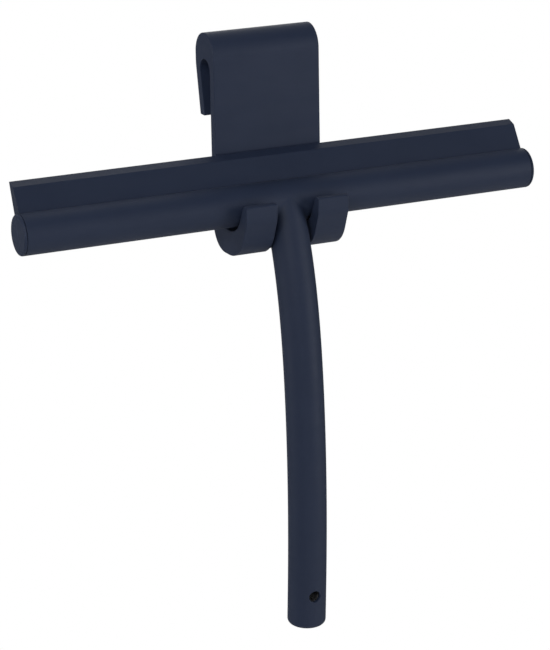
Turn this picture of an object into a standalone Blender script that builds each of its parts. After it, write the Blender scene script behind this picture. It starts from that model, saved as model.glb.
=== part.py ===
"""A squeegee with a tubular head and a curved handle, hanging in its over-the-pane hanger.

Metres, +Z up. The origin is where the hanger sits on a pane of glass: at mid-width, on the pane's
front face, level with the top of the hook's slot. X runs along the head, and -Y is the user's side.
The head's cross-section is symmetric about one leaning line: the blade stands up and back along it,
and the handle leaves down and forward along it.
"""

import math

import bmesh
import bpy
import numpy as np
from mathutils import Vector

GAP = 0.0003  # between pieces that touch
BEYOND = 0.020  # how far a cutter runs past what it cuts
NEAR = 0.000001  # two points this close are one

# Head: a slotted metal channel in a soft skin, its axis in front of the plate and below the hook.
HEAD_Y, HEAD_Z = -0.0178, -0.0610
HEAD_LENGTH = 0.245
HEAD_RADIUS = 0.0090
SKIN = 0.0017
CHANNEL_RADIUS = HEAD_RADIUS - SKIN - GAP
CHANNEL_WALL = 0.0016
BORE_RADIUS = CHANNEL_RADIUS - CHANNEL_WALL
LEAN = math.radians(25)
CAP_THICKNESS = 0.0012
CAP_ROUND = 0.0011
CAP_SEAM = 0.0005
SPIGOT_LENGTH = 0.009

# Blade, measured across (p) and along (q) the leaning line from the head's axis.
BLADE_FRONT, BLADE_BACK = -0.0026, 0.0036
BEVEL_CORNER = (-0.0010, 0.0203)
BLADE_TIP = (0.0026, 0.0239)
WEB = 0.0022
BULB_Q, BULB_RADIUS = 0.0022, 0.0024
ROD_RADIUS, ROD_INSET = 0.0009, 0.004

# Handle: a bent tube in a soft sleeve. Its axis is a Bezier curve in Y over evenly spaced depths.
HANDLE_RADIUS = 0.0087
HANDLE_DEPTH = 0.1930
HANDLE_FORWARD = (0.0003, 0.0214, 0.0193, 0.0243, 0.0214, 0.0189)
HANDLE_BLEND = 0.0030
HANDLE_END_ROUND = 0.0020
SLEEVE_FLOOR = 0.0030
SLEEVE_BORE = HANDLE_RADIUS - 0.0015
TUBE_RADIUS = SLEEVE_BORE - GAP
TUBE_WALL = 0.0010
TUBE_TOP, TUBE_END = 0.0145, 0.1890
PLUG_TOP = 0.1680
HOLE_DEPTH, HOLE_RADIUS = 0.1775, 0.00265

# Neck: saddle, screw and pin, by depth below the head's axis or distance along the leaning line.
SADDLE_TOP, SADDLE_MIDDLE = 0.004, 0.009
SPIGOT_MIDDLE, SPIGOT_END = 0.0210, 0.0285
SKIN_OPENING = (0.002, 0.009, 0.014)
SCREW_TOP, SCREW_RADIUS, SCREW_SEAT = 0.0012, 0.0015, 0.0150
SCREW_HEAD_RADIUS, SCREW_HEAD, SOCKET_RADIUS = 0.0026, 0.0018, 0.0011
WASHER = 0.0006
PIN_DEPTH, PIN_RADIUS, PIN_INSET = 0.0235, 0.0010, 0.0002
NUT_LENGTH, NUT_TOP = 0.030, -0.0008

# Hanger: a soft body of one cross-section, from the hook's leg to the cradle's lip.
HANGER_WIDTH, PLATE = 0.0507, 0.00445
CROWN_TOP, CROWN_BACK, CROWN_ROUND = 0.0117, 0.01515, 0.0098
SLOT_ROUND, SLOT_BACK = 0.0053, 0.0118
LEG_TOP, LEG_BEND, LEG_END = -0.0030, 0.0200, -0.0254
LEG_INNER, LEG_OUTER = 0.00675, 0.01115
CRADLE_BOTTOM, CRADLE_REAR_ROUND, CRADLE_FRONT_ROUND = -0.08315, 0.0120, 0.0160
CRADLE_FLOOR, CRADLE_ROUND = -0.0719, 0.0110
LIP_FRONT, LIP_BACK, LIP_TOP = -0.0344, -0.0314, -0.0575
LIP_KNEE, LIP_BEND = -0.0646, 0.0100
LIP_FOOT_FRONT, LIP_FOOT_BACK = -0.0265, -0.0238
END_ROUND, EDGE_ROUND = 0.0008, 0.0005
NOTCH_WIDTH, NOTCH_END = 0.0196, -0.0135
DRAFT_START, DRAFT = -0.0055, 1.22  # forward of here the cradle narrows by this share per metre
LOCATING_HOLES, LOCATING_RADIUS = (-0.018, -0.045), 0.0014

# The hanger's steel strip, along the middle of the body.
STRIP, STRIP_WIDTH, STRIP_MARGIN = 0.0015, 0.038, 0.0026
STRIP_LEG_END, STRIP_LEG_TOP = (0.0092, -0.0225), 0.0131
STRIP_CROWN, STRIP_CROWN_BEND = 0.00535, 0.0072
STRIP_FLOOR, STRIP_CRADLE_BEND = -0.0757, 0.0138
STRIP_LIP_FOOT, STRIP_LIP_END = -0.0252, (-0.0319, -0.0612)


def clear_scene():
    for thing in list(bpy.data.objects):
        bpy.data.objects.remove(thing)


def finish(name, colour, roughness, metallic):
    """A plain Principled material."""
    made = bpy.data.materials.new(name)
    made.use_nodes = True
    shader = made.node_tree.nodes["Principled BSDF"]
    shader.inputs["Base Color"].default_value = (*colour, 1)
    shader.inputs["Roughness"].default_value = roughness
    shader.inputs["Metallic"].default_value = metallic
    return made


def section(across, along):
    """World (y, z) of a point of the head's cross-section, across and along its leaning line."""
    y = HEAD_Y + across * math.cos(LEAN) + along * math.sin(LEAN)
    z = HEAD_Z - across * math.sin(LEAN) + along * math.cos(LEAN)
    return y, z


def arc(centre, radius, start, end, steps):
    """Points of an arc in the head's section, at angles from its across axis towards its along axis."""
    turns = np.linspace(start, end, steps + 1)
    return [(centre[0] + radius * math.cos(a), centre[1] + radius * math.sin(a)) for a in turns]


def ring(centre, radius, steps):
    return arc(centre, radius, 0, math.tau * (1 - 1 / steps), steps - 1)


def leaned(points):
    return [section(*point) for point in points]


def rounded(corners):
    """The closed outline through corners (y, z, radius), each rounded by an arc of its radius."""
    points = []
    for i, (y, z, radius) in enumerate(corners):
        if radius == 0:
            points.append((y, z))
            continue
        here = Vector((y, z))
        back = (Vector(corners[i - 1][:2]) - here).normalized()
        ahead = (Vector(corners[(i + 1) % len(corners)][:2]) - here).normalized()
        half = back.angle(ahead) / 2
        centre = here + (back + ahead).normalized() * radius / math.sin(half)
        first = here + back * radius / math.tan(half) - centre
        last = here + ahead * radius / math.tan(half) - centre
        start = math.atan2(first.y, first.x)
        turn = (math.atan2(last.y, last.x) - start + math.pi) % math.tau - math.pi
        steps = max(2, round(abs(turn) / math.radians(14)))
        for step in range(steps + 1):
            angle = start + turn * step / steps
            points.append((centre.x + radius * math.cos(angle), centre.y + radius * math.sin(angle)))
    return [p for i, p in enumerate(points) if math.dist(p, points[i - 1]) > NEAR]


def solid(name, shape, material):
    """The bmesh as a smooth-shaded object with sharp edges kept."""
    bmesh.ops.recalc_face_normals(shape, faces=shape.faces[:])
    mesh = bpy.data.meshes.new(name)
    shape.to_mesh(mesh)
    shape.free()
    mesh.shade_smooth()
    mesh.set_sharp_from_angle(angle=math.radians(35))
    made = bpy.data.objects.new(name, mesh)
    bpy.context.scene.collection.objects.link(made)
    if material:
        mesh.materials.append(material)
    return made


def prism(name, loops, low, high, material):
    """A solid of one cross-section from x = low to high: an outer loop of (y, z) and any holes."""
    shape = bmesh.new()
    for loop in loops:
        corners = [shape.verts.new((low, y, z)) for y, z in loop]
        if len(loops) == 1:
            shape.faces.new(corners)
        else:
            for a, b in zip(corners, corners[1:] + corners[:1]):
                shape.edges.new((a, b))
    if len(loops) > 1:
        bmesh.ops.triangle_fill(shape, use_beauty=True, edges=shape.edges[:])
    made = bmesh.ops.extrude_face_region(shape, geom=shape.faces[:], use_keep_orig=True)["geom"]
    moved = [v for v in made if isinstance(v, bmesh.types.BMVert)]
    bmesh.ops.translate(shape, verts=moved, vec=(high - low, 0, 0))
    return solid(name, shape, material)


def loft(name, rings, tips, material):
    """A closed surface through rings of points, ending in two tips or joined end to end."""
    rings = np.asarray(rings)
    count, sides = rings.shape[:2]
    shape = bmesh.new()
    grid = [[shape.verts.new(p) for p in row] for row in rings]
    for i in range(count if tips is None else count - 1):
        row, following = grid[i], grid[(i + 1) % count]
        for j in range(sides):
            k = (j + 1) % sides
            shape.faces.new((row[j], row[k], following[k], following[j]))
    if tips is not None:
        for row, tip in zip((grid[0], grid[-1]), tips):
            end = shape.verts.new(tip)
            for j in range(sides):
                shape.faces.new((row[j], row[(j + 1) % sides], end))
    return solid(name, shape, material)


def rod(name, start, end, radius, sides, material):
    """A plain round bar between two points."""
    start, end = Vector(start), Vector(end)
    along = (end - start).normalized()
    side = along.orthogonal().normalized()
    other = along.cross(side)
    angles = np.linspace(0, math.tau, sides, endpoint=False)
    circle = [(side * math.cos(a) + other * math.sin(a)) * radius for a in angles]
    ends = [[centre + spoke for spoke in circle] for centre in (start, end)]
    return loft(name, ends, (start, end), material)


def cut(target, cutter):
    """Takes the cutter out of the target."""
    cutter.hide_render = True
    cutter.display_type = "WIRE"
    modifier = target.modifiers.new("cut " + cutter.name, "BOOLEAN")
    modifier.operation = "DIFFERENCE"
    modifier.solver = "EXACT"
    modifier.object = cutter


def join(target, other):
    """Makes the other shape one body with the target."""
    cut(target, other)
    target.modifiers[-1].operation = "UNION"


def bernstein(values, share):
    degree = len(values) - 1
    terms = [math.comb(degree, i) * share**i * (1 - share) ** (degree - i) for i in range(degree + 1)]
    return sum(value * term for value, term in zip(values, terms))


def handle_axis(depth):
    """Centre, tangent and rearward normal of the handle's axis at depths below the head's axis."""
    depth = np.asarray(depth, float)
    share = depth / HANDLE_DEPTH
    slope = (len(HANDLE_FORWARD) - 1) / HANDLE_DEPTH * bernstein(np.diff(HANDLE_FORWARD), share)
    nothing = np.zeros_like(depth)
    centre = np.stack([nothing, HEAD_Y - bernstein(HANDLE_FORWARD, share), HEAD_Z - depth], -1)
    tangent = np.stack([nothing, -slope, nothing - 1], -1)
    tangent /= np.linalg.norm(tangent, axis=-1, keepdims=True)
    normal = np.stack([nothing, -tangent[..., 2], tangent[..., 1]], -1)
    return centre, tangent, normal


def down_the_axis(top, end, steps):
    """Depths from the top to the end, closest together at the top, where the axis bends most."""
    return top + (end - top) * np.linspace(0, 1, steps + 1)[:, None] ** 1.5


def round_the_axis(depth, radius, turns):
    """Points at a radius from the handle's axis, at turns from its rear towards +X."""
    centre, _, normal = handle_axis(depth)
    across = np.array([1.0, 0, 0])
    turns = np.asarray(turns)[..., None]
    return centre + radius * (np.cos(turns) * normal + np.sin(turns) * across)


def on_handle(name, stations, sides, material=None):
    """A solid round the handle's axis, through stations (depth, radius)."""
    turns = np.linspace(0, math.tau, sides, endpoint=False)
    rings = [round_the_axis(np.full_like(turns, depth), radius, turns) for depth, radius in stations]
    tips = [handle_axis(stations[end][0])[0] for end in (0, -1)]
    return loft(name, rings, tips, material)


def depth_at(turns, radius, reach):
    """The depth at which each line at this radius round the handle's axis is reach from the head's axis."""
    low, high = np.zeros_like(turns), np.full_like(turns, 0.03)
    for _ in range(40):
        middle = (low + high) / 2
        point = round_the_axis(middle, radius, turns)
        inside = np.hypot(point[..., 1] - HEAD_Y, point[..., 2] - HEAD_Z) < reach
        low, high = np.where(inside, middle, low), np.where(inside, high, middle)
    return (low + high) / 2


def turned_end(radius, depth, rounding, steps, turns):
    """Rings of a rounded end: quarter-circle steps out along the axis from a depth."""
    centre, tangent, normal = handle_axis(depth)
    across = np.array([1.0, 0, 0])
    rings = []
    for angle in np.linspace(0, math.pi / 2, steps + 1):
        size = radius - rounding * (1 - math.cos(angle))
        place = centre + tangent * rounding * math.sin(angle)
        rings.append([place + size * (math.cos(t) * normal + math.sin(t) * across) for t in turns])
    return rings, centre + tangent * rounding


def make_head(silicone, aluminium):
    """The soft skin and the slotted channel that it covers."""
    slot = WEB / 2 + GAP
    pieces = {}
    sizes = (
        ("head_skin", HEAD_RADIUS, HEAD_RADIUS - SKIN, silicone, 44),
        ("head_channel", CHANNEL_RADIUS, BORE_RADIUS, aluminium, 36),
    )
    half = HEAD_LENGTH / 2 - CAP_THICKNESS - GAP
    for name, outer, inner, material, steps in sizes:
        a, b = math.acos(slot / outer), math.acos(slot / inner)
        outline = arc((0, 0), outer, math.pi - a, math.tau + a, steps)
        outline += arc((0, 0), inner, math.tau + b, math.pi - b, steps)
        pieces[name] = prism(name, [leaned(outline)], -half, half, material)
    return pieces["head_skin"], pieces["head_channel"]


def make_blade(rubber, steel):
    """The wedge-shaped blade, its web and bulb in the channel, and the rod that swells the bulb."""
    seat = HEAD_RADIUS + GAP
    web = WEB / 2
    front, back = (math.acos(p / seat) for p in (BLADE_FRONT, BLADE_BACK))
    meet = math.sqrt(BULB_RADIUS**2 - web**2)
    waist = math.atan2(meet, web)
    outline = [BEVEL_CORNER]
    outline += arc((0, 0), seat, front, math.acos(-web / seat), 2)
    outline += arc((0, BULB_Q), BULB_RADIUS, math.pi - waist, math.tau + waist, 20)
    outline += arc((0, 0), seat, math.acos(web / seat), back, 3)
    outline += [BLADE_TIP]
    half = HEAD_LENGTH / 2 - CAP_THICKNESS - GAP
    hole = ring((0, BULB_Q), ROD_RADIUS + GAP, 12)
    blade = prism("blade", [leaned(outline), leaned(hole)], -half, half, rubber)
    rod_line = [(side * (half - ROD_INSET), *section(0, BULB_Q)) for side in (-1, 1)]
    locking_rod = rod("blade_rod", *rod_line, ROD_RADIUS, 10, steel)
    return blade, locking_rod


def half_moon(radius, top):
    """The part of a circle below a line across the leaning line."""
    end = math.asin(top / radius)
    return leaned(arc((0, 0), radius, math.pi - end, math.tau + end, 14))


def make_cap(name, side, silicone):
    """An end disc with a rounded rim, a fine seam across it, and a half-moon spigot under the bulb."""
    face = side * HEAD_LENGTH / 2
    inner = face - side * CAP_THICKNESS
    turns = np.linspace(0, math.tau, 48, endpoint=False)
    rings = []
    steps = [(0, HEAD_RADIUS)]
    for angle in np.linspace(0, math.pi / 2, 4):
        rise = CAP_THICKNESS - CAP_ROUND * (1 - math.sin(angle))
        steps.append((rise, HEAD_RADIUS - CAP_ROUND * (1 - math.cos(angle))))
    for rise, radius in steps:
        x = inner + side * rise
        rings.append([(x, HEAD_Y + radius * math.cos(t), HEAD_Z + radius * math.sin(t)) for t in turns])
    tips = ((inner, HEAD_Y, HEAD_Z), (face, HEAD_Y, HEAD_Z))
    disc = loft(name, rings, tips, silicone)
    root = face - side * CAP_THICKNESS / 2
    end = inner - side * SPIGOT_LENGTH
    spigot = prism(name + "_spigot", [half_moon(BORE_RADIUS - GAP, NUT_TOP)], *sorted((root, end)), None)
    join(disc, spigot)
    wide, long, deep = CAP_SEAM / 2, HEAD_RADIUS + BEYOND, CAP_THICKNESS / 3
    outline = leaned([(-wide, -long), (wide, -long), (wide, long), (-wide, long)])
    ends = sorted((face - side * deep, face + side * deep))
    cut(disc, prism(name + "_seam", [outline], *ends, None))
    return disc


def make_nut_plate(steel):
    """A bar in the bottom of the channel's bore that takes the neck screw."""
    outline = half_moon(BORE_RADIUS - GAP, NUT_TOP)
    bar = prism("nut_plate", [outline], -NUT_LENGTH / 2, NUT_LENGTH / 2, steel)
    cut(bar, on_neck("nut_plate_hole", 0, BEYOND, SCREW_RADIUS + GAP))
    return bar


def on_neck(name, start, end, radius, material=None, sides=14):
    """A round bar on the neck's own line, between two distances from the head's axis."""
    places = [(0, *section(0, -distance)) for distance in (start, end)]
    return rod(name, *places, radius, sides, material)


def make_saddle(cast):
    """The block that seats on the channel and carries the handle's tube on a spigot."""
    bore = TUBE_RADIUS - TUBE_WALL
    shoulder = [(depth, TUBE_RADIUS) for depth in (SADDLE_TOP, SADDLE_MIDDLE, TUBE_TOP - GAP)]
    spigot = [(depth, bore - GAP) for depth in (TUBE_TOP - GAP, SPIGOT_MIDDLE, SPIGOT_END)]
    saddle = on_handle("neck_saddle", shoulder + spigot, 20, cast)
    seat = leaned(ring((0, 0), CHANNEL_RADIUS + GAP, 36))
    cut(saddle, prism("saddle_seat", [seat], -BEYOND, BEYOND, None))
    cut(saddle, on_neck("saddle_hole", 0, SCREW_SEAT + GAP, SCREW_RADIUS + GAP))
    cut(saddle, on_neck("saddle_counterbore", SCREW_SEAT, SCREW_SEAT + BEYOND, SCREW_HEAD_RADIUS + 2 * GAP))
    return saddle


def make_neck_screw(steel):
    """The screw from the counterbore up into the nut plate, and its washer."""
    under = SCREW_SEAT + 2 * GAP + WASHER
    screw = on_neck("neck_screw", SCREW_TOP, under + SCREW_HEAD / 4, SCREW_RADIUS, steel)
    head = on_neck("neck_screw_head", under, under + SCREW_HEAD, SCREW_HEAD_RADIUS)
    join(screw, head)
    key = (under + SCREW_HEAD / 2, under + SCREW_HEAD + BEYOND)
    cut(screw, on_neck("neck_screw_socket", *key, SOCKET_RADIUS, sides=6))
    washer = on_neck("neck_washer", SCREW_SEAT + GAP, SCREW_SEAT + GAP + WASHER, SCREW_HEAD_RADIUS, steel)
    cut(washer, on_neck("neck_washer_hole", SCREW_SEAT, SCREW_SEAT + BEYOND, SCREW_RADIUS + GAP))
    return screw, washer


def make_handle_tube(steel):
    """The bent metal tube inside the handle."""
    turns = np.linspace(0, math.tau, 20, endpoint=False)
    depths = down_the_axis(np.full_like(turns, TUBE_TOP), TUBE_END, 13)
    outside = [round_the_axis(d, TUBE_RADIUS, turns) for d in depths]
    inside = [round_the_axis(d, TUBE_RADIUS - TUBE_WALL, turns) for d in depths]
    return loft("handle_tube", outside + inside[::-1], None, steel)


def make_handle_plug(plastic):
    """The plug that closes the tube's lower end and backs the hanging hole."""
    radius = TUBE_RADIUS - TUBE_WALL - GAP
    stations = [(depth, radius) for depth in np.linspace(PLUG_TOP, TUBE_END, 4)]
    return on_handle("handle_end_plug", stations, 20, plastic)


def make_handle_sleeve(silicone):
    """The soft sleeve: closed and rounded below, and blended above on to the head by a rolling ball.

    On every line along the handle, the ball of radius HANDLE_BLEND touches both the handle and the
    head. Its centre is where that line, moved out by the radius, is a radius off the head.
    """
    turns = np.linspace(0, math.tau, 32, endpoint=False)
    seat = HEAD_RADIUS + GAP
    end = HANDLE_DEPTH - HANDLE_END_ROUND
    ball_depth = depth_at(turns, HANDLE_RADIUS + HANDLE_BLEND, seat + HANDLE_BLEND)
    ball = round_the_axis(ball_depth, HANDLE_RADIUS + HANDLE_BLEND, turns)
    to_handle = round_the_axis(ball_depth, HANDLE_RADIUS, turns) - ball
    to_head = np.array([0, HEAD_Y, HEAD_Z]) - ball
    to_head[:, 0] = 0
    to_head *= HANDLE_BLEND / np.linalg.norm(to_head, axis=1, keepdims=True)
    spread = np.arccos(np.clip((to_handle * to_head).sum(1) / HANDLE_BLEND**2, -1, 1))[:, None]
    blend = []
    for share in np.linspace(1, 0, 4):
        mixed = np.sin((1 - share) * spread) * to_handle + np.sin(share * spread) * to_head
        blend.append(ball + mixed / np.sin(spread))
    shaft = [round_the_axis(d, HANDLE_RADIUS, turns) for d in down_the_axis(ball_depth, end, 14)[1:-1]]
    bottom, low_tip = turned_end(HANDLE_RADIUS, end, HANDLE_END_ROUND, 3, turns)
    mouth = depth_at(turns, SLEEVE_BORE, seat)
    floor = HANDLE_DEPTH - SLEEVE_FLOOR
    lining = [round_the_axis(d, SLEEVE_BORE, turns) for d in down_the_axis(mouth, floor, 13)[::-1]]
    tips = (handle_axis(floor)[0], low_tip)
    return loft("handle_sleeve", lining + blend + shaft + bottom, tips, silicone)


def cut_hanging_hole(pieces):
    """The round hole straight through the handle's lower end."""
    centre = handle_axis(HOLE_DEPTH)[0]
    for piece in pieces:
        ends = (centre - (0, BEYOND, 0), centre + (0, BEYOND, 0))
        cut(piece, rod(piece.name + "_hole", *ends, HOLE_RADIUS, 24, None))


def pin_neck(pieces, steel):
    """The cross pin through the tube and the spigot, and its holes."""
    centre = handle_axis(PIN_DEPTH)[0]
    reach = TUBE_RADIUS - PIN_INSET
    for piece in pieces:
        ends = (centre - (BEYOND, 0, 0), centre + (BEYOND, 0, 0))
        cut(piece, rod(piece.name + "_pin_hole", *ends, PIN_RADIUS + GAP, 12, None))
    return rod("neck_pin", centre - (reach, 0, 0), centre + (reach, 0, 0), PIN_RADIUS, 12, steel)


def hanger_outline():
    """The hanger's cross-section: hook, plate and cradle in one line."""
    return rounded([
        (0, CRADLE_BOTTOM, CRADLE_REAR_ROUND),
        (LIP_FOOT_FRONT, CRADLE_BOTTOM, CRADLE_FRONT_ROUND),
        (LIP_FRONT, LIP_KNEE, LIP_BEND),
        (LIP_FRONT, LIP_TOP, END_ROUND),
        (LIP_BACK, LIP_TOP, END_ROUND),
        (LIP_FOOT_BACK, CRADLE_FLOOR, CRADLE_ROUND),
        (-PLATE, CRADLE_FLOOR, CRADLE_ROUND),
        (-PLATE, CROWN_TOP, CROWN_ROUND),
        (CROWN_BACK, CROWN_TOP, CROWN_ROUND),
        (CROWN_BACK, LEG_TOP, LEG_BEND),
        (LEG_OUTER, LEG_END, END_ROUND),
        (LEG_INNER, LEG_END, END_ROUND),
        (SLOT_BACK, 0, SLOT_ROUND),
        (0, 0, SLOT_ROUND),
    ])


def strip_outline(half):
    """The steel strip's cross-section: its middle line from leg to lip, thickened to both sides."""
    corners = [
        STRIP_LEG_END,
        (STRIP_LEG_TOP, STRIP_CROWN),
        (-PLATE / 2, STRIP_CROWN),
        (-PLATE / 2, STRIP_FLOOR),
        (STRIP_LIP_FOOT, STRIP_FLOOR),
        STRIP_LIP_END,
    ]
    bends = (0, STRIP_CROWN_BEND, STRIP_CROWN_BEND, STRIP_CRADLE_BEND, STRIP_CRADLE_BEND, 0)
    line = [Vector(corner) for corner in corners]
    sides = []
    for offset in (half, -half):
        moved = []
        for i, here in enumerate(line):
            before = here - line[i - 1] if i else line[1] - here
            after = line[i + 1] - here if i + 1 < len(line) else before
            left = [Vector((-way.y, way.x)).normalized() for way in (before, after)]
            middle = (left[0] + left[1]).normalized()
            place = here + middle * offset / middle.dot(left[0])
            turn = math.copysign(1, before.x * after.y - before.y * after.x)
            moved.append((place.x, place.y, bends[i] - turn * offset if bends[i] else 0))
        sides.append(moved)
    return rounded(sides[0] + sides[1][::-1])


def notch(name, width, end):
    """A cutter for the gap between the cradle's prongs: straight sides and a half-round end."""
    radius = width / 2
    front, low, high = LIP_FRONT - BEYOND, CRADLE_BOTTOM - BEYOND, LIP_TOP + GAP
    turns = np.linspace(0, math.pi, 13)
    plan = [(radius * math.cos(t), end - radius + radius * math.sin(t)) for t in turns]
    plan += [(-radius, front), (radius, front)]
    shape = bmesh.new()
    face = shape.faces.new([shape.verts.new((x, y, low)) for x, y in plan])
    made = bmesh.ops.extrude_face_region(shape, geom=[face], use_keep_orig=True)["geom"]
    moved = [v for v in made if isinstance(v, bmesh.types.BMVert)]
    bmesh.ops.translate(shape, verts=moved, vec=(0, 0, high - low))
    return solid(name, shape, None)


def draft(body):
    """Narrows the cradle evenly forwards of DRAFT_START, where each side face gets a fold."""
    shape = bmesh.new()
    shape.from_mesh(body.data)
    everything = shape.verts[:] + shape.edges[:] + shape.faces[:]
    start = {"plane_co": (0, DRAFT_START, 0), "plane_no": (0, 1, 0)}
    bmesh.ops.bisect_plane(shape, geom=everything, dist=NEAR, **start)
    for vertex in shape.verts:
        vertex.co.x *= 1 - DRAFT * max(0, DRAFT_START - vertex.co.y)
    shape.to_mesh(body.data)
    shape.free()


def make_hanger(silicone, steel):
    """The steel strip and the soft body moulded round it, with the locating holes the mould leaves."""
    half, wide = STRIP / 2, STRIP_WIDTH / 2
    around = STRIP_MARGIN + GAP
    core = prism("hanger_core", [strip_outline(half)], -wide, wide, steel)
    cut(core, notch("core_notch", NOTCH_WIDTH + 2 * around, NOTCH_END + around))
    cavity = prism("hanger_cavity", [strip_outline(half + GAP)], -wide - GAP, wide + GAP, None)
    cut(cavity, notch("cavity_notch", NOTCH_WIDTH + 2 * STRIP_MARGIN, NOTCH_END + STRIP_MARGIN))
    body = prism("hanger_body", [hanger_outline()], -HANGER_WIDTH / 2, HANGER_WIDTH / 2, silicone)
    draft(body)
    bevel = body.modifiers.new("rounded edges", "BEVEL")
    bevel.width = EDGE_ROUND
    bevel.segments = 1
    bevel.limit_method = "ANGLE"
    bevel.angle_limit = math.radians(60)
    cut(body, notch("neck_notch", NOTCH_WIDTH, NOTCH_END))
    cut(body, cavity)
    for i, z in enumerate(LOCATING_HOLES):
        line = ((0, -PLATE / 2, z), (0, PLATE, z))
        cut(body, rod(f"locating_hole_{i}", *line, LOCATING_RADIUS, 16, None))
    return body, core


def build():
    clear_scene()
    silicone = finish("silicone_navy", (0.024, 0.038, 0.085), 0.6, 0)
    blade_rubber = finish("silicone_blade", (0.022, 0.036, 0.079), 0.5, 0)
    aluminium = finish("aluminium", (0.80, 0.81, 0.83), 0.35, 1)
    steel = finish("stainless_steel", (0.62, 0.62, 0.63), 0.3, 1)
    cast = finish("cast_aluminium", (0.52, 0.53, 0.55), 0.45, 1)
    plastic = finish("nylon", (0.05, 0.05, 0.055), 0.55, 0)
    make_hanger(silicone, steel)
    head_skin, channel = make_head(silicone, aluminium)
    make_blade(blade_rubber, steel)
    make_cap("end_cap_left", -1, silicone)
    make_cap("end_cap_right", 1, silicone)
    make_nut_plate(steel)
    cut(channel, on_neck("channel_screw_hole", 0, BEYOND, SCREW_RADIUS + GAP))
    opening = [(depth, SLEEVE_BORE) for depth in SKIN_OPENING]
    cut(head_skin, on_handle("head_skin_opening", opening, 28))
    saddle = make_saddle(cast)
    make_neck_screw(steel)
    tube = make_handle_tube(steel)
    pin_neck([tube, saddle], steel)
    plug = make_handle_plug(plastic)
    sleeve = make_handle_sleeve(silicone)
    cut_hanging_hole([tube, plug, sleeve])


build()
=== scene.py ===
"""The looks of a squeegee in its hanger: soft navy-black silicone over metal, in a white studio.

Metres, +Z up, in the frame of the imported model: X along the head, -Y towards the user. Every visible
soft piece is a fine surface that stands for its CAD node. The pieces inside, all metal but for a
nylon plug, keep their own meshes and get their finishes here.
"""

import math

import bmesh
import bpy
import numpy as np
from mathutils import Matrix, Vector


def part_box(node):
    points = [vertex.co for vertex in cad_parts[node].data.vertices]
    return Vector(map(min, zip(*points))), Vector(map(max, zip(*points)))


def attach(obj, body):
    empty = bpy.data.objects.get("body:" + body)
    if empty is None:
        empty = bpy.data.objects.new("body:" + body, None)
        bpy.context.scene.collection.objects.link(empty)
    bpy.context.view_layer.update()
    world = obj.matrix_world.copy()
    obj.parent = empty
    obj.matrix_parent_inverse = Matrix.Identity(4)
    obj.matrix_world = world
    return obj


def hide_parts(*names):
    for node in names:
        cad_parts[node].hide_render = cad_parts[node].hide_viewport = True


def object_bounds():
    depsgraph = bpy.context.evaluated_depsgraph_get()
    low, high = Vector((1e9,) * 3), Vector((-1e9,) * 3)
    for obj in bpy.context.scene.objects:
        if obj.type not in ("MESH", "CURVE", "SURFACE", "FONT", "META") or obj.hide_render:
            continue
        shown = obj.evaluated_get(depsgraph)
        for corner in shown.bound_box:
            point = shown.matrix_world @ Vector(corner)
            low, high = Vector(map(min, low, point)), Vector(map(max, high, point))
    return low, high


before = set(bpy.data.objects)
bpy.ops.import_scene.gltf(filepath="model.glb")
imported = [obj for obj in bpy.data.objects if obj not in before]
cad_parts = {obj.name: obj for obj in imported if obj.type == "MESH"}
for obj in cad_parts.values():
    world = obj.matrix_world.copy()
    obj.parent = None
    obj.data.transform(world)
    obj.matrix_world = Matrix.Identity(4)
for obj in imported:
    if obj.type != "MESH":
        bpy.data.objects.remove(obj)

CAD_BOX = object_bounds()

# The head's axis, radius and length come from its end caps and its skin.
CAP_LOW, CAP_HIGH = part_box("end_cap_left")
HEAD_RADIUS = (CAP_HIGH.z - CAP_LOW.z) / 2
HEAD_Y, HEAD_Z = CAP_LOW.y + HEAD_RADIUS, CAP_LOW.z + HEAD_RADIUS
HEAD_END = -CAP_LOW.x
SKIN_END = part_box("head_skin")[1].x
GAP = 0.0003  # room between a soft piece and the metal in it
TOUCH = 0.00003  # two soft pieces pressed together

# Head and blade, across and along the head's leaning line.
LEAN = math.radians(25)
SKIN, SKIN_RIM = 0.0017, 0.0002
NECK_OPENING = (0.002, 0.009, 0.014)  # depths of the neck's opening below the head's axis
CAP_THICKNESS, CAP_ROUND = 0.0012, 0.00105
SEAM_WIDTH, SEAM_DEPTH = 0.0007, 0.00030
SPIGOT_RADIUS, SPIGOT_TOP, SPIGOT_LENGTH = 0.0051, -0.0008, 0.009
BLADE_FRONT, BLADE_BACK, BLADE_RIM = -0.0026, 0.0036, 0.00018
BEVEL_CORNER, BLADE_TIP = (-0.0010, 0.0203), (0.0026, 0.0239)
BEVEL_ROUND, TIP_ROUND = 0.0006, 0.00025
WEB, BULB_Q, BULB_RADIUS, ROD_RADIUS = 0.0022, 0.0022, 0.0024, 0.0009

# Handle: its axis is a Bezier curve in Y over evenly spaced depths below the head's axis.
HANDLE_RADIUS, HANDLE_DEPTH = 0.0087, 0.1930
HANDLE_FORWARD = (0.0003, 0.0214, 0.0193, 0.0243, 0.0214, 0.0189)
HANDLE_END_ROUND, SLEEVE_BORE, SLEEVE_FLOOR = 0.0020, 0.0072, 0.0030
NECK_BLEND = 0.0030
HOLE_DEPTH, HOLE_RADIUS, HOLE_LIP = 0.1775, 0.00265, 0.0005

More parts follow.
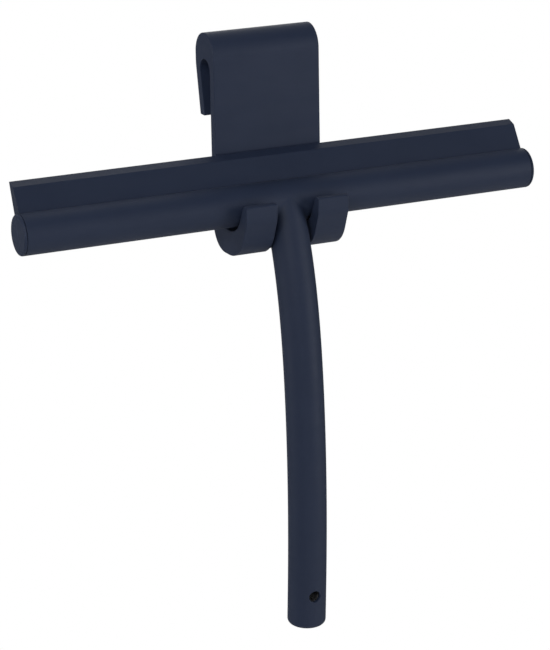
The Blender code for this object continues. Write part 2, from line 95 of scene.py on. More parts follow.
# Hanger: one cross-section from the hook's leg to the cradle's lip, and the notch between the prongs.
HANGER_WIDTH, PLATE = 0.0507, 0.00445
CROWN_TOP, CROWN_BACK, CROWN_ROUND = 0.0117, 0.01515, 0.0098
SLOT_BACK, SLOT_ROUND = 0.0118, 0.0053
LEG_TOP, LEG_BEND, LEG_END = -0.003, 0.020, -0.0254
LEG_INNER, LEG_OUTER, LEG_ROUND = 0.00675, 0.01115, 0.0005
CRADLE_BOTTOM, CRADLE_REAR_ROUND, CRADLE_FRONT_ROUND = -0.08315, 0.0120, 0.0160
CRADLE_FLOOR, CRADLE_ROUND = -0.0719, 0.0110
LIP_FRONT, LIP_BACK, LIP_TOP = -0.0344, -0.0314, -0.0575
LIP_KNEE, LIP_BEND = -0.0646, 0.0100
LIP_SLOPE, LIP_ROUND = 0.0005, 0.0008  # how far the lip's front corner lies below its back one
LIP_FOOT_FRONT, LIP_FOOT_BACK = -0.0265, -0.0238
NOTCH_WIDTH, NOTCH_END = 0.0202, -0.0135
DRAFT_START, DRAFT = -0.0055, 1.22  # forward of here the cradle narrows by this share per metre
LOCATING_HOLES, LOCATING_RADIUS = (-0.018, -0.045), 0.0014
HANGER_RIM = 0.00035

# Finishes: darkest and lightest colour and roughness, and for the soft ones the grain's scale.
NAVY = ((0.019, 0.032, 0.073), (0.029, 0.045, 0.097), 0.60, 3200.0)
BLADE_NAVY = ((0.018, 0.030, 0.068), (0.027, 0.042, 0.090), 0.52, 4200.0)
NYLON = ((0.030, 0.030, 0.033), (0.045, 0.045, 0.050), 0.55, 1800.0)
STEEL = ((0.50, 0.50, 0.51), (0.66, 0.66, 0.67), 0.32)
ALUMINIUM = ((0.70, 0.71, 0.73), (0.84, 0.85, 0.87), 0.38)
CAST_ALUMINIUM = ((0.42, 0.43, 0.45), (0.56, 0.57, 0.59), 0.50)
STEEL_NODES = [
    "hanger_core", "blade_rod", "nut_plate", "neck_screw", "neck_washer", "neck_pin", "handle_tube",
]

# Where it is looked at from.
AZIMUTH, ELEVATION, ROLL = math.radians(-24.654), math.radians(17.378), math.radians(1.02)
DISTANCE, LENS = 1.1511, 145.53
AIM_LEFT, AIM_BELOW = 0.003032, 0.05478

# Studio: the white surround's strength as a light, the floor's grey and how far below the piece it lies,
# and each lamp's place, size and power.
SURROUND, FLOOR_TONE, FLOOR_DROP = 0.06, 0.80, 0.95
LAMPS = (
    ("key_upper_left", (-1.0, -1.1, 0.9), (1.0, 0.9), 9),
    ("front_low", (-0.3, -1.5, -0.7), (1.6, 0.8), 1.2),
    ("front_right", (1.3, -1.3, 0.1), (1.0, 1.4), 9),
    ("top_back", (0.0, 0.8, 1.5), (1.6, 0.8), 4),
    ("rim_left", (-1.6, 0.3, 0.1), (0.5, 1.2), 4.5),
    ("from_below", (0.3, -0.5, -1.0), (1.2, 0.9), 0.45),
    ("back_right", (0.7, 1.7, 0.4), (1.6, 1.2), 9),
)


# ---- outlines -------------------------------------------------------------------------------

def arc(centre, radius, start, end, steps):
    """centre + radius (cos a, sin a) for a from start to end."""
    turns = np.linspace(start, end, steps + 1)
    return np.stack([centre[0] + radius * np.cos(turns), centre[1] + radius * np.sin(turns)], -1)


def leaned(points):
    """(across, along) the head's leaning line to world (y, z): a turn by LEAN about the head's axis."""
    across, along = np.asarray(points, float).T
    y = HEAD_Y + across * math.cos(LEAN) + along * math.sin(LEAN)
    z = HEAD_Z - across * math.sin(LEAN) + along * math.cos(LEAN)
    return np.stack([y, z], -1)


def rounded(corners):
    """The closed outline through corners (y, z, radius), each replaced by an arc of its radius."""
    finest, facet = math.radians(5), 0.00045
    pieces = []
    for i, (y, z, radius) in enumerate(corners):
        here = Vector((y, z))
        if radius == 0:
            pieces.append(np.array([[y, z]]))
            continue
        back = (Vector(corners[i - 1][:2]) - here).normalized()
        ahead = (Vector(corners[(i + 1) % len(corners)][:2]) - here).normalized()
        half = back.angle(ahead) / 2
        centre = here + (back + ahead).normalized() * radius / math.sin(half)
        first = here + back * radius / math.tan(half) - centre
        last = here + ahead * radius / math.tan(half) - centre
        start = math.atan2(first.y, first.x)
        turn = (math.atan2(last.y, last.x) - start + math.pi) % math.tau - math.pi  # the short way
        steps = max(3, math.ceil(abs(turn) / max(finest, facet / radius)))
        pieces.append(arc(centre, radius, start, start + turn, steps))
    points = np.concatenate(pieces)
    return points[np.linalg.norm(points - np.roll(points, 1, 0), axis=1) > 1e-6]


def inset(outline, distance):
    """The closed outline moved inwards: each corner goes along its mitre by distance / cos(half turn)."""
    edges = np.roll(outline, -1, 0) - outline
    edges /= np.linalg.norm(edges, axis=1, keepdims=True)
    inward = np.stack([-edges[:, 1], edges[:, 0]], -1)
    if np.cross(outline, np.roll(outline, -1, 0)).sum() < 0:
        inward = -inward
    mitre = inward + np.roll(inward, 1, 0)
    return outline + distance * 2 * mitre / (mitre**2).sum(1, keepdims=True)


# ---- surfaces -------------------------------------------------------------------------------

def piece_from(name, points, faces):
    """A mesh piece from arrays of points and face corners, its faces turned outwards."""
    mesh = bpy.data.meshes.new(name)
    mesh.from_pydata(np.asarray(points).tolist(), [], faces)
    shape = bmesh.new()
    shape.from_mesh(mesh)
    bmesh.ops.recalc_face_normals(shape, faces=shape.faces[:])
    shape.to_mesh(mesh)
    shape.free()
    piece = bpy.data.objects.new(name, mesh)
    bpy.context.scene.collection.objects.link(piece)
    return piece


def loft(name, rings, tips=None):
    """The surface P(i, j) through rings of points, closed round j: by flat ends, or fans to two tips."""
    rings = np.asarray(rings, float)
    count, sides = rings.shape[:2]
    index = np.arange(count * sides).reshape(count, sides)
    ahead = np.roll(index, -1, 1)
    faces = np.stack([index[:-1], ahead[:-1], ahead[1:], index[1:]], -1).reshape(-1, 4).tolist()
    points = rings.reshape(-1, 3)
    if tips is None:
        faces += [index[0, ::-1].tolist(), index[-1].tolist()]
    else:
        for row, tip in zip((0, -1), tips):
            faces += np.stack([index[row], ahead[row], np.full(sides, len(points))], -1).tolist()
            points = np.concatenate([points, np.asarray(tip, float)[None]])
    return piece_from(name, points, faces)


def prism(name, outline, low, high, rim=0.0, steps=4):
    """The outline (y, z) carried from x = low to high, its rims rounded as quarter circles.

    A ring at angle a of the rounding lies rim (1 - sin a) in from the end face's plane and is the
    outline inset by rim (1 - cos a).
    """
    rings = []
    angles = np.linspace(math.pi / 2, 0, steps + 1) if rim else [0.0]
    for angle in angles:
        loop = inset(outline, rim * (1 - math.cos(angle))) if rim else outline
        rings.append((rim * (1 - math.sin(angle)), loop))
    near = [np.insert(loop, 0, low + depth, axis=1) for depth, loop in rings]
    far = [np.insert(loop, 0, high - depth, axis=1) for depth, loop in reversed(rings)]
    return loft(name, near + far)


def rod(name, start, end, radius):
    """A round bar: start + (end - start) t + radius (u cos a + v sin a)."""
    sides = 48
    start, end = Vector(start), Vector(end)
    along = (end - start).normalized()
    side = np.array(along.orthogonal().normalized())
    other = np.cross(np.array(along), side)
    turns = np.linspace(0, math.tau, sides, endpoint=False)[:, None]
    circle = radius * (np.cos(turns) * side + np.sin(turns) * other)
    return loft(name, [circle + np.array(start), circle + np.array(end)])


def settle(piece):
    """Replaces the piece's mesh by what its modifiers make of it."""
    graph = bpy.context.evaluated_depsgraph_get()
    made = bpy.data.meshes.new_from_object(piece.evaluated_get(graph))
    piece.modifiers.clear()
    piece.data = made


def carve(piece, tools, operation="DIFFERENCE"):
    """Cuts the tools out of the piece, or joins them to it, and removes them."""
    for tool in tools:
        modifier = piece.modifiers.new("carve", "BOOLEAN")
        modifier.operation = operation
        modifier.solver = "EXACT"
        modifier.object = tool
    settle(piece)
    for tool in tools:
        bpy.data.objects.remove(tool)


def round_edges(piece, width, steps, sharper_than):
    """Rounds the piece's edges that are sharper than an angle."""
    modifier = piece.modifiers.new("rounding", "BEVEL")
    modifier.width = width
    modifier.segments = steps
    modifier.limit_method = "ANGLE"
    modifier.angle_limit = sharper_than
    modifier.use_clamp_overlap = False
    settle(piece)


def smooth(piece):
    """Shades the piece smooth, with its flat faces keeping their own direction."""
    piece.data.shade_smooth()
    piece.data.set_sharp_from_angle(angle=math.radians(38))
    modifier = piece.modifiers.new("flat faces stay flat", "WEIGHTED_NORMAL")
    modifier.keep_sharp = True
    modifier.weight = 60
    settle(piece)


def fattened(node, distance):
    """A copy of a CAD node with every face moved outwards by a distance."""
    shape = bmesh.new()
    shape.from_mesh(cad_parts[node].data)
    bmesh.ops.remove_doubles(shape, verts=shape.verts[:], dist=1e-6)
    bmesh.ops.dissolve_limit(shape, angle_limit=1e-3, verts=shape.verts[:], edges=shape.edges[:])
    shape.normal_update()
    moves = [v.normal * distance * v.calc_shell_factor() for v in shape.verts]
    for vertex, move in zip(shape.verts, moves):
        vertex.co += move
    mesh = bpy.data.meshes.new(node + "_room")
    shape.to_mesh(mesh)
    shape.free()
    piece = bpy.data.objects.new(mesh.name, mesh)
    bpy.context.scene.collection.objects.link(piece)
    return piece


# ---- the handle's axis ----------------------------------------------------------------------

def bernstein(values, share):
    """sum of C(n, i) t^i (1 - t)^(n - i) v_i."""
    degree = len(values) - 1
    terms = [math.comb(degree, i) * share**i * (1 - share) ** (degree - i) for i in range(degree + 1)]
    return sum(value * term for value, term in zip(values, terms))


def handle_axis(depth):
    """Centre, tangent and rearward normal of the handle's axis at depths below the head's axis."""
    depth = np.asarray(depth, float)
    share = depth / HANDLE_DEPTH
    slope = (len(HANDLE_FORWARD) - 1) / HANDLE_DEPTH * bernstein(np.diff(HANDLE_FORWARD), share)
    nothing = np.zeros_like(depth)
    centre = np.stack([nothing, HEAD_Y - bernstein(HANDLE_FORWARD, share), HEAD_Z - depth], -1)
    tangent = np.stack([nothing, -slope, nothing - 1], -1)
    tangent /= np.linalg.norm(tangent, axis=-1, keepdims=True)
    normal = np.stack([nothing, -tangent[..., 2], tangent[..., 1]], -1)
    return centre, tangent, normal


def round_the_axis(depth, radius, turns):
    """centre + radius (cos a normal + sin a X) at each depth."""
    centre, _, normal = handle_axis(depth)
    turns = np.asarray(turns)[..., None]
    return centre + radius * (np.cos(turns) * normal + np.sin(turns) * np.array([1.0, 0, 0]))


def depth_at(turns, radius, reach):
    """By halving, the depth where each line at this radius is at reach from the head's axis."""
    deepest = 0.03
    low, high = np.zeros_like(turns), np.full_like(turns, deepest)
    for _ in range(40):
        middle = (low + high) / 2
        point = round_the_axis(middle, radius, turns)
        inside = np.hypot(point[..., 1] - HEAD_Y, point[..., 2] - HEAD_Z) < reach
        low, high = np.where(inside, middle, low), np.where(inside, high, middle)
    return (low + high) / 2


def down_the_axis(top, end, steps):
    """Depths top + (end - top) t^1.5, closest together at the top, where the axis bends most."""
    return top + (end - top) * np.linspace(0, 1, steps + 1)[:, None] ** 1.5


# ---- pieces ---------------------------------------------------------------------------------

def placed(piece, node, body, material):
    """Gives the piece its finish and its body, shades it smooth, and hides the CAD node that it stands
    for.
    """
    piece.data.materials.clear()
    piece.data.materials.append(material)
    smooth(piece)
    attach(piece, body)
    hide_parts(node)


def hanger_outline():
    """Hook, plate and cradle in one closed line of corners (y, z) and their radii."""
    return rounded([
        (0, CRADLE_BOTTOM, CRADLE_REAR_ROUND),
        (LIP_FOOT_FRONT, CRADLE_BOTTOM, CRADLE_FRONT_ROUND),
        (LIP_FRONT, LIP_KNEE, LIP_BEND),
        (LIP_FRONT, LIP_TOP - LIP_SLOPE, LIP_ROUND),
        (LIP_BACK, LIP_TOP, LIP_ROUND),
        (LIP_FOOT_BACK, CRADLE_FLOOR, CRADLE_ROUND),
        (-PLATE, CRADLE_FLOOR, CRADLE_ROUND),
        (-PLATE, CROWN_TOP, CROWN_ROUND),
        (CROWN_BACK, CROWN_TOP, CROWN_ROUND),
        (CROWN_BACK, LEG_TOP, LEG_BEND),
        (LEG_OUTER, LEG_END, LEG_ROUND),
        (LEG_INNER, LEG_END, LEG_ROUND),
        (SLOT_BACK, 0, SLOT_ROUND),
        (0, 0, SLOT_ROUND),
    ])


def notch_tool():
    """The room between the prongs: straight sides and a half-round end, upright."""
    radius, front = NOTCH_WIDTH / 2, -0.08
    turns = np.linspace(0, math.pi, 41)
    x = np.concatenate([radius * np.cos(turns), [-radius, radius]])
    y = np.concatenate([NOTCH_END - radius + radius * np.sin(turns), [front, front]])
    low = np.stack([x, y, np.full_like(x, CRADLE_BOTTOM - 0.005)], -1)
    high = np.stack([x, y, np.full_like(x, LIP_TOP + 0.01)], -1)
    return loft("notch", [low, high])


def draft(piece):
    """Narrows the cradle forwards: x (1 - DRAFT (start - y)) wherever y is in front of the start."""
    points = np.empty(3 * len(piece.data.vertices), np.float32)
    piece.data.vertices.foreach_get("co", points)
    points = points.reshape(-1, 3)
    points[:, 0] *= 1 - DRAFT * np.clip(DRAFT_START - points[:, 1], 0, None)
    piece.data.vertices.foreach_set("co", points.ravel())


def make_hanger(material):
    """The hanger's soft body, with room for the steel strip and the mould's two locating holes."""
    half, past_back = HANGER_WIDTH / 2, 0.004
    piece = prism("hanger_soft_body", hanger_outline(), -half, half, HANGER_RIM)
    carve(piece, [notch_tool()])
    round_edges(piece, HANGER_RIM * 0.9, 4, math.radians(55))
    draft(piece)
    tools = [fattened("hanger_core", GAP)]
    for z in LOCATING_HOLES:
        tools.append(rod("locating_hole", (0, -PLATE / 2, z), (0, past_back, z), LOCATING_RADIUS))
    carve(piece, tools)
    placed(piece, "hanger_body", "hanger", material)


def make_head_skin(material):
    """The soft skin: nearly a full turn of tube, open along the slot, with an opening for the neck."""
    slot, inner_radius = WEB / 2 + GAP, HEAD_RADIUS - SKIN
    outside, inside = math.acos(slot / HEAD_RADIUS), math.acos(slot / inner_radius)
    outline = np.concatenate([
        arc((0, 0), HEAD_RADIUS, math.pi - outside, math.tau + outside, 160),
        arc((0, 0), inner_radius, math.tau + inside, math.pi - inside, 120),
    ])
    piece = prism("head_soft_skin", leaned(outline), -SKIN_END, SKIN_END, SKIN_RIM, 3)
    turns = np.linspace(0, math.tau, 64, endpoint=False)
    rings = [round_the_axis(np.full_like(turns, depth), SLEEVE_BORE, turns) for depth in NECK_OPENING]
    carve(piece, [loft("neck_opening", rings)])
    placed(piece, "head_skin", "squeegee", material)


def make_blade(material):
    """The wedge, its web and its bulb, with the locking rod's hole.

    Its line, seen from the end: the bevel's corner, down to the front of its seat on the head, the web,
    most of a turn round the bulb, back up the web and along the seat, and the tip.
    """
    seat, web = HEAD_RADIUS + TOUCH, WEB / 2
    front, back = (math.acos(p / seat) for p in (BLADE_FRONT, BLADE_BACK))
    neck = math.atan2(math.sqrt(BULB_RADIUS**2 - web**2), web)
    line = [
        (*BEVEL_CORNER, BEVEL_ROUND),
        *((p, q, 0) for p, q in arc((0, 0), seat, front, math.acos(-web / seat), 6)),
        *((p, q, 0) for p, q in arc((0, BULB_Q), BULB_RADIUS, math.pi - neck, math.tau + neck, 48)),
        *((p, q, 0) for p, q in arc((0, 0), seat, math.acos(web / seat), back, 8)),
        (*BLADE_TIP, TIP_ROUND),
    ]
    piece = prism("blade_wedge", leaned(rounded(line)), -SKIN_END, SKIN_END, BLADE_RIM, 3)
    centre = leaned([(0, BULB_Q)])[0]
    ends = ((-HEAD_END, *centre), (HEAD_END, *centre))
    carve(piece, [rod("rod_hole", *ends, ROD_RADIUS + GAP)])
    placed(piece, "blade", "blade", material)


def make_cap(name, node, body, side, material):
    """An end disc on rows across its seam, and its half-moon spigot.

    Row a of the disc, b along it: the face stands T - c(r) - d(a) proud, where r^2 = a^2 + b^2,
    c is the rim's quarter circle and d = SEAM_DEPTH (1 + cos(pi a / SEAM_WIDTH)) / 2 in the seam.
    """
    inner, thinnest = HEAD_END - CAP_THICKNESS, 0.00002
    rows = HEAD_RADIUS * np.sin(np.linspace(-math.pi / 2, math.pi / 2, 72)[1:-1])
    rows = np.sort(np.concatenate([rows, SEAM_WIDTH * np.linspace(-1.1, 1.1, 23)]))[:, None]
    along = np.sqrt(HEAD_RADIUS**2 - rows**2) * np.sin(np.linspace(-math.pi / 2, math.pi / 2, 81))
    radius = np.hypot(rows, along)
    into_rim = np.clip(radius - (HEAD_RADIUS - CAP_ROUND), 0, CAP_ROUND)
    drop = CAP_ROUND - np.sqrt(CAP_ROUND**2 - into_rim**2)
    seam = SEAM_DEPTH * (1 + np.cos(math.pi * np.clip(rows / SEAM_WIDTH, -1, 1))) / 2
    proud = np.maximum(CAP_THICKNESS - drop - seam, thinnest)
    spots = leaned(np.stack([np.broadcast_to(rows, along.shape), along], -1).reshape(-1, 2))
    spots = spots.reshape(*along.shape, 2)
    face = np.concatenate([(inner + proud)[..., None], spots], -1)
    back = np.concatenate([np.full_like(along, inner)[..., None], spots], -1)[:, ::-1]
    edge = leaned([(-HEAD_RADIUS, 0), (HEAD_RADIUS, 0)])
    rings, tips = np.concatenate([face, back], 1), np.insert(edge, 0, inner, axis=1)
    rings[..., 0] *= side
    tips[:, 0] *= side
    piece = loft(name, rings, tips)
    top = math.asin(SPIGOT_TOP / SPIGOT_RADIUS)
    moon = leaned(arc((0, 0), SPIGOT_RADIUS, math.pi - top, math.tau + top, 48))
    ends = sorted((side * (inner - SPIGOT_LENGTH), side * (inner + CAP_THICKNESS / 3)))
    carve(piece, [prism(name + "_spigot", moon, *ends)], "UNION")
    placed(piece, node, body, material)


def hole_tool():
    """The hanging hole with a rounded lip at both mouths.

    At angle a of a lip the hole's radius is HOLE_RADIUS + HOLE_LIP (1 - cos a), and the point lies
    HOLE_LIP (1 - sin a) below the handle's surface y = axis -+ sqrt(R^2 - x^2) / cos(tilt) there.
    """
    turns, beyond = np.linspace(0, math.tau, 64, endpoint=False), 0.002
    rings = []
    for front in (-1, 1):
        lip = []
        for angle in np.linspace(0, math.pi / 2, 6):
            radius = HOLE_RADIUS + HOLE_LIP * (1 - math.cos(angle))
            x, z = radius * np.cos(turns), HEAD_Z - HOLE_DEPTH + radius * np.sin(turns)
            centre, tangent, _ = handle_axis(HEAD_Z - z)
            surface = np.sqrt(HANDLE_RADIUS**2 - x**2) / -tangent[:, 2]
            reach = surface - HOLE_LIP * (1 - math.sin(angle))
            lip.append(np.stack([x, centre[:, 1] + front * reach, z], -1))
        lip.append(lip[-1] + np.array([0, front * beyond, 0]))
        rings += lip[::-1] if front < 0 else lip
    return loft("hanging_hole", rings)


def make_handle_sleeve(material):
    """The sleeve: a tube round the handle's axis, blended on to the head by a rolling ball.

    On each line along the handle the ball of radius NECK_BLEND touches handle and head. The blend is
    the ball's arc between the two touching points, spread evenly in angle: with w the angle between
    the spokes h to the handle and k to the head, ball + (h sin((1 - s) w) + k sin(s w)) / sin w.
    """
    turns = np.linspace(0, math.tau, 128, endpoint=False)
    seat, end = HEAD_RADIUS + TOUCH, HANDLE_DEPTH - HANDLE_END_ROUND
    ball_depth = depth_at(turns, HANDLE_RADIUS + NECK_BLEND, seat + NECK_BLEND)
    ball = round_the_axis(ball_depth, HANDLE_RADIUS + NECK_BLEND, turns)
    to_handle = round_the_axis(ball_depth, HANDLE_RADIUS, turns) - ball
    to_head = np.array([0, HEAD_Y, HEAD_Z]) - ball
    to_head[:, 0] = 0
    to_head *= NECK_BLEND / np.linalg.norm(to_head, axis=1, keepdims=True)
    spread = np.arccos(np.clip((to_handle * to_head).sum(1) / NECK_BLEND**2, -1, 1))[:, None]
    shares = np.linspace(1, 0, 17)[:, None, None]
    spoke = np.sin((1 - shares) * spread) * to_handle + np.sin(shares * spread) * to_head
    blend = ball + spoke / np.sin(spread)
    shaft = [round_the_axis(d, HANDLE_RADIUS, turns) for d in down_the_axis(ball_depth, end, 130)[1:-1]]
    centre, tangent, _ = handle_axis(end)
    bottom = []
    for angle in np.linspace(0, math.pi / 2, 9):
        radius = HANDLE_RADIUS - HANDLE_END_ROUND * (1 - math.cos(angle))
        ring = round_the_axis(np.full_like(turns, end), radius, turns)
        bottom.append(ring + tangent * HANDLE_END_ROUND * math.sin(angle))
    floor, mouth = HANDLE_DEPTH - SLEEVE_FLOOR, depth_at(turns, SLEEVE_BORE, seat)
    lining = [round_the_axis(d, SLEEVE_BORE, turns) for d in down_the_axis(mouth, floor, 60)[::-1]]
    tips = (handle_axis(floor)[0], centre + tangent * HANDLE_END_ROUND)
    piece = loft("handle_soft_sleeve", np.concatenate([lining, blend, shaft, bottom]), tips)
    carve(piece, [hole_tool()])
    placed(piece, "handle_sleeve", "squeegee", material)


# ---- finishes -------------------------------------------------------------------------------

def node_in(tree, kind, at, **values):
    """A node at a place in the tree, with its properties and unlinked inputs set."""
    made = tree.nodes.new(kind)
    made.location = at
    for key, value in values.items():
        if key in made.inputs:
            made.inputs[key].default_value = value
        else:
            setattr(made, key, value)
    return made


def group_of(name, inputs, outputs):
    """An empty node group with float or colour sockets, and its two end nodes."""
    group = bpy.data.node_groups.new(name, "ShaderNodeTree")
    for label, kind, value in inputs:
        socket = group.interface.new_socket(name=label, in_out="INPUT", socket_type=kind)
        if value is not None:
            socket.default_value = value
    for label, kind in outputs:
        group.interface.new_socket(name=label, in_out="OUTPUT", socket_type=kind)
    start = node_in(group, "NodeGroupInput", (-900, 0))
    end = node_in(group, "NodeGroupOutput", (700, 0))
    return group, start, end


def noise(tree, at, vector, scale, detail, roughness=0.5):
    """Cloudy noise over a vector."""
    made = node_in(tree, "ShaderNodeTexNoise", at, Scale=scale, Detail=detail, Roughness=roughness)
    tree.links.new(vector, made.inputs["Vector"])
    return made.outputs["Fac"]


def maths(tree, at, operation, first, second):
    """One step of arithmetic on two values, each a socket or a number."""
    made = node_in(tree, "ShaderNodeMath", at, operation=operation)
    for socket, value in zip(made.inputs, (first, second)):
        if isinstance(value, bpy.types.NodeSocket):
            tree.links.new(value, socket)
        else:
            socket.default_value = value
    return made.outputs[0]


def moulded_surface():
    """How a moulded soft surface varies: slow tone, handling marks, and a fine spark-eroded grain."""
    group, start, end = group_of(
        "moulded surface",
        [("Vector", "NodeSocketVector", None), ("Grain size", "NodeSocketFloat", 3000.0)],
        [("Tone", "NodeSocketFloat"), ("Handling", "NodeSocketFloat"), ("Grain", "NodeSocketFloat")],
    )
    vector = start.outputs["Vector"]
    slow = noise(group, (-600, 300), vector, 28.0, 3.0, 0.55)
    blotch = noise(group, (-600, 100), vector, 110.0, 4.0, 0.6)
    most = maths(group, (-450, 300), "MULTIPLY", slow, 0.65)
    rest = maths(group, (-450, 100), "MULTIPLY", blotch, 0.35)
    tone = maths(group, (-350, 250), "ADD", most, rest)
    stretched = node_in(group, "ShaderNodeMapping", (-750, -150))
    stretched.inputs["Rotation"].default_value = (0.3, 0.5, 0.2)
    stretched.inputs["Scale"].default_value = (30.0, 55.0, 140.0)
    group.links.new(vector, stretched.inputs["Vector"])
    wiped = noise(group, (-600, -150), stretched.outputs["Vector"], 1.0, 5.0, 0.65)
    marks = node_in(group, "ShaderNodeMapRange", (-350, -150))
    marks.inputs["From Min"].default_value = 0.42
    marks.inputs["From Max"].default_value = 0.72
    group.links.new(wiped, marks.inputs["Value"])
    grain = node_in(group, "ShaderNodeTexNoise", (-600, -400), Detail=2.0, Roughness=0.6)
    group.links.new(vector, grain.inputs["Vector"])
    group.links.new(start.outputs["Grain size"], grain.inputs["Scale"])
    group.links.new(tone, end.inputs["Tone"])
    group.links.new(marks.outputs["Result"], end.inputs["Handling"])
    group.links.new(grain.outputs["Fac"], end.inputs["Grain"])
    return group


def drawn_metal():
    """Lines left along X by drawing or extruding, and a slow change of tone."""
    group, start, end = group_of(
        "drawn metal",
        [("Vector", "NodeSocketVector", None), ("Lines", "NodeSocketFloat", 2500.0)],
        [("Tone", "NodeSocketFloat"), ("Lines", "NodeSocketFloat")],
    )
    stretched = node_in(group, "ShaderNodeMapping", (-700, 0), Scale=(0.02, 1.0, 1.0))
    group.links.new(start.outputs["Vector"], stretched.inputs["Vector"])
    lines = node_in(group, "ShaderNodeTexNoise", (-450, 0), Detail=3.0)
    group.links.new(stretched.outputs["Vector"], lines.inputs["Vector"])
    group.links.new(start.outputs["Lines"], lines.inputs["Scale"])
    tone = noise(group, (-450, -250), start.outputs["Vector"], 60.0, 3.0)
    group.links.new(tone, end.inputs["Tone"])
    group.links.new(lines.outputs["Fac"], end.inputs["Lines"])
    return group


def base_material(name, group):
    """A Principled material and the shared group reading Object coordinates."""
    material = bpy.data.materials.new(name)
    material.use_nodes = True
    tree = material.node_tree
    shader = tree.nodes["Principled BSDF"]
    where = node_in(tree, "ShaderNodeTexCoord", (-900, 0))
    effect = node_in(tree, "ShaderNodeGroup", (-650, 0), node_tree=group)
    tree.links.new(where.outputs["Object"], effect.inputs["Vector"])
    return material, tree, shader, effect


def tinted(tree, factor, dark, light, target):
    """A colour between dark and light by a factor."""
    mix = node_in(tree, "ShaderNodeMix", (-300, 200), data_type="RGBA")
    mix.inputs[6].default_value = (*dark, 1)
    mix.inputs[7].default_value = (*light, 1)
    tree.links.new(factor, mix.inputs[0])
    tree.links.new(mix.outputs[2], target)


def ranged(tree, value, low, high, target):
    """A value from 0 to 1 carried to low to high."""
    made = node_in(tree, "ShaderNodeMapRange", (-300, 0))
    made.inputs["To Min"].default_value = low
    made.inputs["To Max"].default_value = high
    tree.links.new(value, made.inputs["Value"])
    tree.links.new(made.outputs["Result"], target)


def bumped(tree, height, distance, shader):
    """Relief on the shader: a height of 1 stands out by a distance in metres."""
    bump = node_in(tree, "ShaderNodeBump", (-300, -300), Distance=distance, Strength=1.0)
    tree.links.new(height, bump.inputs["Height"])
    tree.links.new(bump.outputs["Normal"], shader.inputs["Normal"])


def soft_silicone(name, group, dark, light, roughness, grain):
    """A soft-touch surface: slightly powdery at grazing light, and a little smoother where handled."""
    material, tree, shader, effect = base_material(name, group)
    handled = roughness - 0.09
    effect.inputs["Grain size"].default_value = grain
    tinted(tree, effect.outputs["Tone"], dark, light, shader.inputs["Base Color"])
    ranged(tree, effect.outputs["Handling"], roughness, handled, shader.inputs["Roughness"])
    bumped(tree, effect.outputs["Grain"], 0.00002, shader)
    shader.inputs["Specular IOR Level"].default_value = 0.45
    shader.inputs["Sheen Weight"].default_value = 0.05
    shader.inputs["Sheen Roughness"].default_value = 0.45
    shader.inputs["Sheen Tint"].default_value = (0.75, 0.85, 1.0, 1)
    return material


def metal(name, group, dark, light, roughness):
    """Plain metal with its drawing lines."""
    material, tree, shader, effect = base_material(name, group)
    smoothest, roughest = roughness - 0.06, roughness + 0.12
    tinted(tree, effect.outputs["Tone"], dark, light, shader.inputs["Base Color"])
    ranged(tree, effect.outputs["Lines"], smoothest, roughest, shader.inputs["Roughness"])
    bumped(tree, effect.outputs["Lines"], 0.00001, shader)
    shader.inputs["Metallic"].default_value = 1.0
    return material


def finish_nodes(finishes):
    """Gives each CAD node that stays its finish."""
    for material, nodes in finishes:
        for node in nodes:
            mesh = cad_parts[node].data
            mesh.materials.clear()
            mesh.materials.append(material)


# ---- studio ---------------------------------------------------------------------------------

def camera_axes():
    """The camera's right, up and back directions."""
    cos_e, sin_e = math.cos(ELEVATION), math.sin(ELEVATION)
    back = Vector((math.sin(AZIMUTH) * cos_e, -math.cos(AZIMUTH) * cos_e, sin_e))
    right = Vector((math.cos(AZIMUTH), math.sin(AZIMUTH), 0))
    up = back.cross(right)
    c, s = math.cos(ROLL), math.sin(ROLL)
    return c * right - s * up, s * right + c * up, back


def make_camera():
    """A long lens, from the left and above."""
    right, up, back = camera_axes()
    camera = bpy.data.objects.new("camera", bpy.data.cameras.new("camera"))
    bpy.context.scene.collection.objects.link(camera)
    camera.data.lens = LENS
    camera.data.sensor_width = 36
    camera.data.clip_end = 20
    place = Vector((0, HEAD_Y, HEAD_Z)) - right * AIM_LEFT - up * AIM_BELOW + back * DISTANCE
    camera.matrix_world = Matrix.Translation(place) @ Matrix((right, up, back)).transposed().to_4x4()
    bpy.context.scene.camera = camera


def softbox(name, place, size, power):
    """A rectangular lamp that faces the head."""
    light = bpy.data.lights.new(name, "AREA")
    light.shape = "RECTANGLE"
    light.size, light.size_y = size
    light.energy = power
    lamp = bpy.data.objects.new(name, light)
    bpy.context.scene.collection.objects.link(lamp)
    lamp.location = place
    towards = Vector((0, HEAD_Y, HEAD_Z)) - Vector(place)
    lamp.rotation_euler = towards.to_track_quat("-Z", "Y").to_euler()


def white_to_the_eye(tree, lighting, white, output):
    """Camera rays see plain white, and all other rays meet the softer lighting shader."""
    path = node_in(tree, "ShaderNodeLightPath", (-200, 300))
    mix = node_in(tree, "ShaderNodeMixShader", (200, 0))
    tree.links.new(path.outputs["Is Camera Ray"], mix.inputs[0])
    tree.links.new(lighting.outputs[0], mix.inputs[1])
    tree.links.new(white.outputs[0], mix.inputs[2])
    tree.links.new(mix.outputs[0], output.inputs["Surface"])


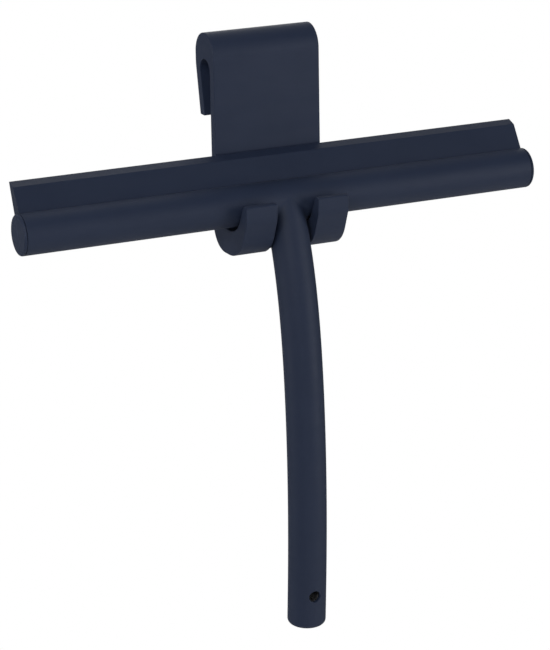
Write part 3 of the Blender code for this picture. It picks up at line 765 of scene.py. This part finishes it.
def make_floor():
    """A floor that turns up into a wall: z = floor + bend (1 - cos a) as y = start + bend sin a."""
    floor_z = CAD_BOX[0][2] - FLOOR_DROP
    front_y, back_y, side, wall, bend = -5.0, 2.6, 5.0, 4.0, 0.8
    turns = np.linspace(-math.pi / 2, 0, 17)
    y = np.concatenate([[front_y], back_y - bend + bend * np.cos(turns), [back_y]])
    z = np.concatenate([[floor_z], floor_z + bend + bend * np.sin(turns), [floor_z + wall]])
    x = np.array([[-side], [side]])
    points = np.stack(np.broadcast_arrays(x, y, z), -1).reshape(-1, 3)
    count = len(y)
    index = np.arange(count - 1)
    faces = np.stack([index, index + 1, index + 1 + count, index + count], -1).tolist()
    mesh = bpy.data.meshes.new("studio_floor")
    mesh.from_pydata(points.tolist(), [], faces)
    mesh.shade_smooth()
    floor = bpy.data.objects.new("studio_floor", mesh)
    bpy.context.scene.collection.objects.link(floor)
    paper = bpy.data.materials.new("studio_paper")
    paper.use_nodes = True
    tree = paper.node_tree
    shader = tree.nodes["Principled BSDF"]
    shader.inputs["Base Color"].default_value = (FLOOR_TONE, FLOOR_TONE, FLOOR_TONE, 1)
    shader.inputs["Roughness"].default_value = 0.9
    white = node_in(tree, "ShaderNodeEmission", (0, -400), Strength=1.0)
    white_to_the_eye(tree, shader, white, tree.nodes["Material Output"])
    mesh.materials.append(paper)


def make_studio():
    """A white floor and surround, and soft lamps round the front."""
    make_floor()
    world = bpy.data.worlds.new("studio")
    world.use_nodes = True
    tree = world.node_tree
    surround = tree.nodes["Background"]
    surround.inputs["Strength"].default_value = SURROUND
    surround.inputs["Color"].default_value = (1, 1, 1, 1)
    white = node_in(tree, "ShaderNodeBackground", (0, -200), Strength=1.0)
    white.inputs["Color"].default_value = (1, 1, 1, 1)
    white_to_the_eye(tree, surround, white, tree.nodes["World Output"])
    bpy.context.scene.world = world
    bpy.context.scene.view_settings.view_transform = "Standard"
    for lamp in LAMPS:
        softbox(*lamp)


def main():
    """Finishes first, then the pieces that wear them, then the camera and the studio."""
    moulded, drawn = moulded_surface(), drawn_metal()
    navy = soft_silicone("navy_silicone", moulded, *NAVY)
    blade = soft_silicone("blade_silicone", moulded, *BLADE_NAVY)
    nylon = soft_silicone("black_nylon", moulded, *NYLON)
    steel = metal("stainless_steel", drawn, *STEEL)
    aluminium = metal("extruded_aluminium", drawn, *ALUMINIUM)
    cast = metal("cast_aluminium", drawn, *CAST_ALUMINIUM)
    make_hanger(navy)
    make_head_skin(navy)
    make_blade(blade)
    make_cap("left_end_cap", "end_cap_left", "squeegee", -1, navy)
    make_cap("right_end_cap", "end_cap_right", "blade", 1, navy)
    make_handle_sleeve(navy)
    finish_nodes([
        (steel, STEEL_NODES),
        (aluminium, ["head_channel"]),
        (cast, ["neck_saddle"]),
        (nylon, ["handle_end_plug"]),
    ])
    make_camera()
    make_studio()


main()
